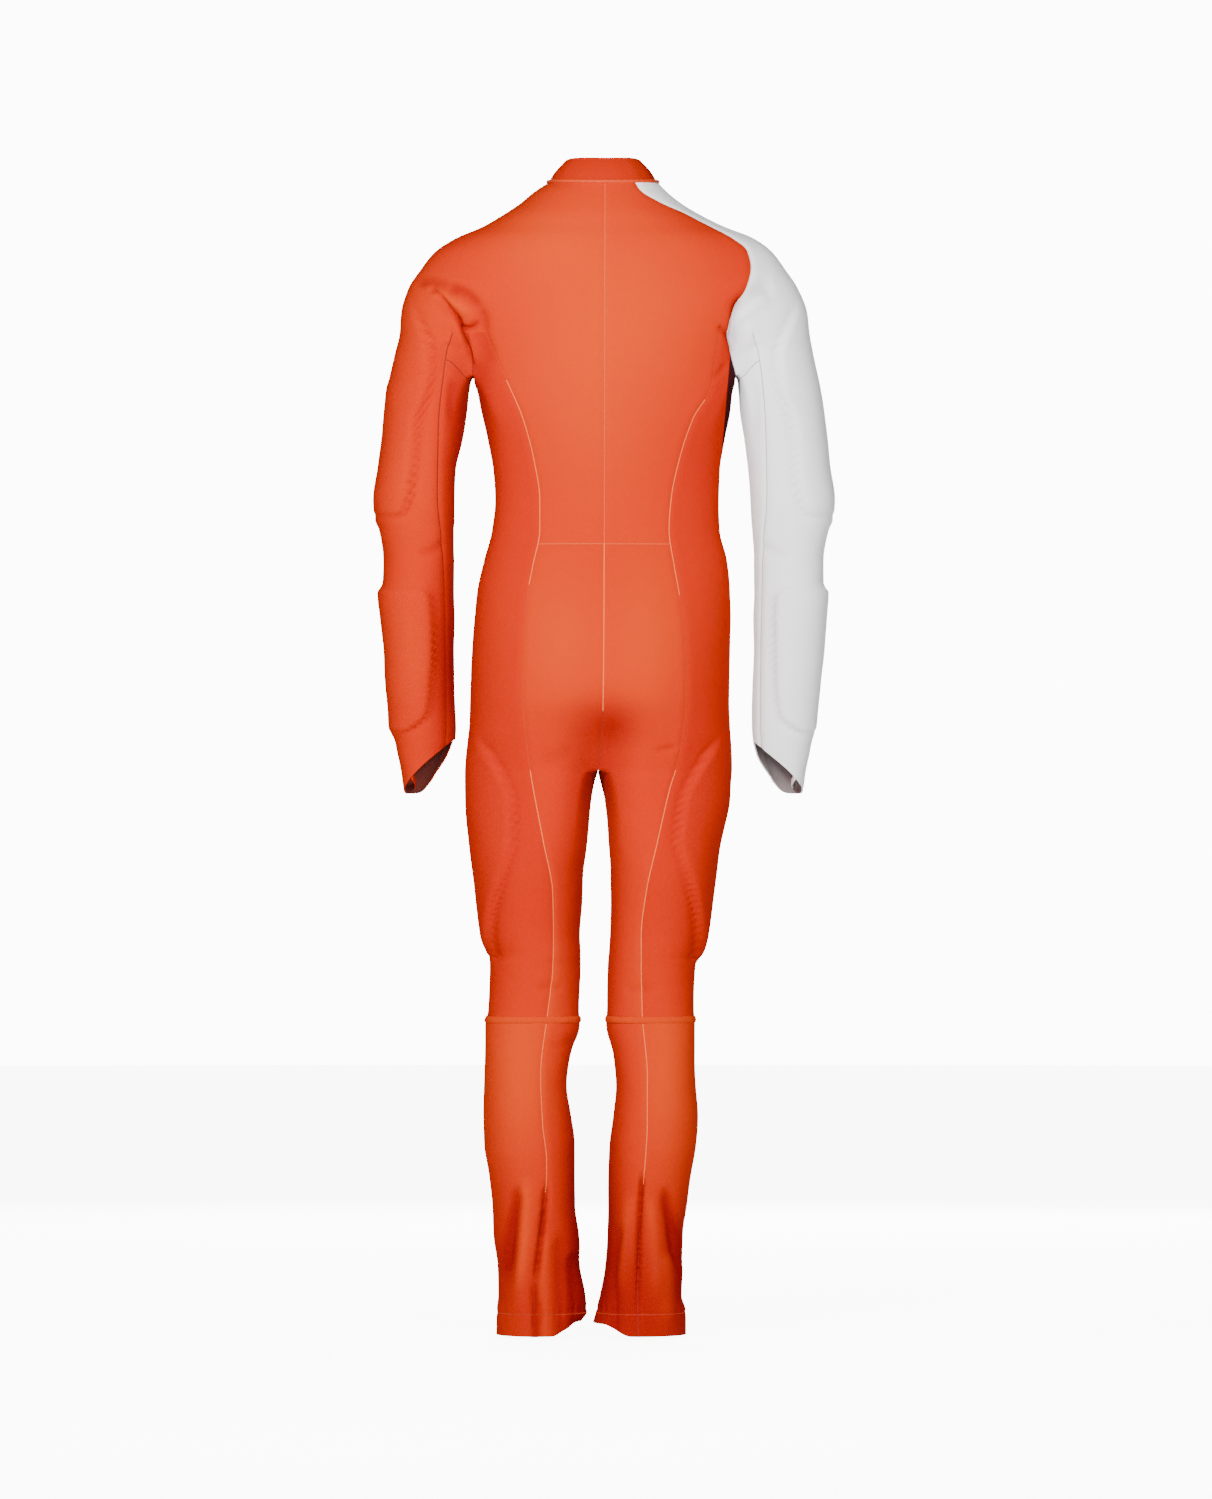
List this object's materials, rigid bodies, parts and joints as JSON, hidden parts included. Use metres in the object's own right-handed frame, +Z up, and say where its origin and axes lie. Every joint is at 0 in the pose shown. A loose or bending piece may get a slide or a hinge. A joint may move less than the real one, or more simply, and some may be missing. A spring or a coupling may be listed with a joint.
{
  "type": "ski race suit",
  "caption": "One-piece stretch ski race suit for a junior, filled out as worn, with moulded pads, thumb loops and a front zip; the right sleeve is white.",
  "frame": {"origin": "centre of the neck opening, level with the base of the collar", "axes": "+Z up, the wearer faces -Y, +X towards the wearer's left"},
  "size_m": [0.4612, 0.1832, 1.1744],
  "materials": {
    "orange_knit": "stretch warp knit with a soft sheen",
    "white_knit": "stretch warp knit with a soft sheen",
    "collar_knit": "stretch warp knit",
    "seam_binding": "overlocked, rolled seam",
    "zip_tape": "woven tape",
    "zip_coil": "moulded coil",
    "zip_metal": "satin"
  },
  "bodies": {
    "suit": {"back_left": "orange_knit", "back_right": "orange_knit", "side_left": "orange_knit", "side_right": "orange_knit", "seat_left": "orange_knit", "seat_right": "orange_knit", "front_left": "orange_knit", "front_right": "orange_knit", "calf_outer_left": "orange_knit", "calf_outer_right": "orange_knit", "calf_inner_left": "orange_knit", "calf_inner_right": "orange_knit", "sleeve_upper_left": "orange_knit", "sleeve_upper_right": "white_knit", "sleeve_under_left": "orange_knit", "sleeve_under_right": "white_knit", "underarm_gusset_left": "orange_knit", "underarm_gusset_right": "white_knit", "thumb_loop_left": "orange_knit", "thumb_loop_right": "white_knit", "collar": "collar_knit", "neck_binding": "seam_binding", "knee_band_left": "seam_binding", "knee_band_right": "seam_binding", "zip_tape_left": "zip_tape", "zip_tape_right": "zip_tape", "zip_coil": "zip_coil", "zip_slider": "zip_metal"},
    "pull": {"zip_pull": "zip_metal"}
  },
  "joints": [
    {"name": "pull_swing", "type": "hinge", "parent": "suit", "child": "pull", "pos_m": [-0.001, -0.05722, -0.01139], "axis": [-1, 0, 0], "range_deg": [0, 150]}
  ]
}
